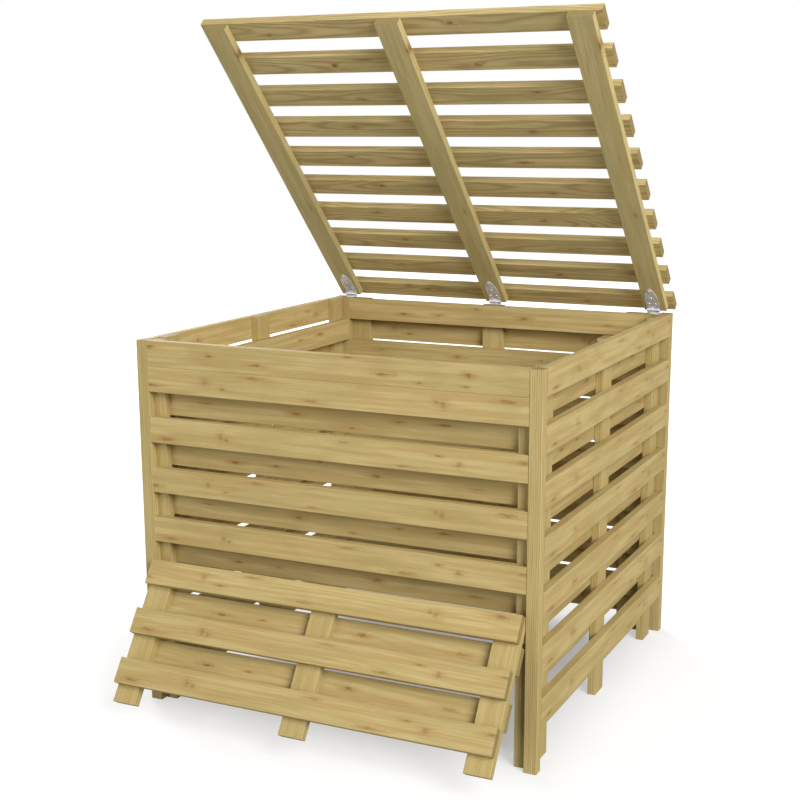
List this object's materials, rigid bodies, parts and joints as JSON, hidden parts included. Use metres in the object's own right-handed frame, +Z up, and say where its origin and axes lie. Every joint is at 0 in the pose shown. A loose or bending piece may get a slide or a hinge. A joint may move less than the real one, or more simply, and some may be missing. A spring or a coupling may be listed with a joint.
{
  "type": "compost bin",
  "caption": "Square wooden compost bin with a slatted lid hinged at the back, shown propped open, and a slatted emptying flap hinged at the front.",
  "frame": {"origin": "on the ground, in the middle of the foot of the middle back batten, which stands on the bin's centre plane", "axes": "+X to the right as seen from the front, where the flap is; +Y to the back, where the lid is hinged; +Z up. At rest the lid and the flap stand open as in the picture"},
  "size_m": [1.004, 1.2169, 1.6168],
  "materials": {
    "slat_wood": "sawn, planed and impregnated softwood",
    "upright_wood": "sawn, planed and impregnated softwood, grain upright",
    "hinge_steel": "zinc plated, dull",
    "screw_steel": "zinc plated"
  },
  "bodies": {
    "bin": {"back_battens": "upright_wood", "back_inner_slats": "slat_wood", "back_outer_slats": "slat_wood", "fixed_hinge_screws": "screw_steel", "flap_hinge_fixed_leaves": "hinge_steel", "flap_hinge_pins": "hinge_steel", "flap_hinge_rail": "slat_wood", "front_inner_slats": "slat_wood", "front_left_edge_board": "upright_wood", "front_outer_slat_1": "slat_wood", "front_outer_slat_2": "slat_wood", "front_outer_slat_3": "slat_wood", "front_outer_slat_4": "slat_wood", "front_outer_slat_5": "slat_wood", "front_right_edge_board": "upright_wood", "left_battens": "upright_wood", "left_doorway_jamb": "upright_wood", "left_inner_slats": "slat_wood", "left_outer_slats": "slat_wood", "lid_hinge_pins": "hinge_steel", "lid_hinge_plates": "hinge_steel", "rear_hinge_rail": "slat_wood", "rear_left_edge_board": "upright_wood", "rear_right_edge_board": "upright_wood", "right_battens": "upright_wood", "right_doorway_jamb": "upright_wood", "right_inner_slats": "slat_wood", "right_outer_slat_1": "slat_wood", "right_outer_slat_2": "slat_wood", "right_outer_slat_3": "slat_wood", "right_outer_slat_4": "slat_wood", "right_outer_slat_5": "slat_wood", "right_outer_slat_6": "slat_wood", "right_outer_slat_7": "slat_wood"},
    "lid": {"lid_batten_left": "upright_wood", "lid_batten_middle": "upright_wood", "lid_batten_right": "upright_wood", "lid_hinge_strap_left": "hinge_steel", "lid_hinge_strap_middle": "hinge_steel", "lid_hinge_strap_right": "hinge_steel", "lid_slat_1": "slat_wood", "lid_slat_10": "slat_wood", "lid_slat_2": "slat_wood", "lid_slat_3": "slat_wood", "lid_slat_4": "slat_wood", "lid_slat_5": "slat_wood", "lid_slat_6": "slat_wood", "lid_slat_7": "slat_wood", "lid_slat_8": "slat_wood", "lid_slat_9": "slat_wood", "lid_strap_screws": "screw_steel"},
    "flap": {"flap_batten_left": "upright_wood", "flap_batten_middle": "upright_wood", "flap_batten_right": "upright_wood", "flap_hinge_moving_leaves": "hinge_steel", "flap_hinge_screws": "screw_steel", "flap_inner_slats": "slat_wood", "flap_outer_slat_1": "slat_wood", "flap_outer_slat_2": "slat_wood", "flap_outer_slat_3": "slat_wood"}
  },
  "joints": [
    {"name": "lid_hinge", "type": "hinge", "parent": "bin", "child": "lid", "pos_m": [0, 0.0075, 0.8922], "axis": [-1, 0, 0], "range_deg": [-46.2, 42.5]},
    {"name": "flap_hinge", "type": "hinge", "parent": "bin", "child": "flap", "pos_m": [0, -0.9665, 0.31505], "axis": [-1, 0, 0], "range_deg": [-33.9, 4]}
  ]
}
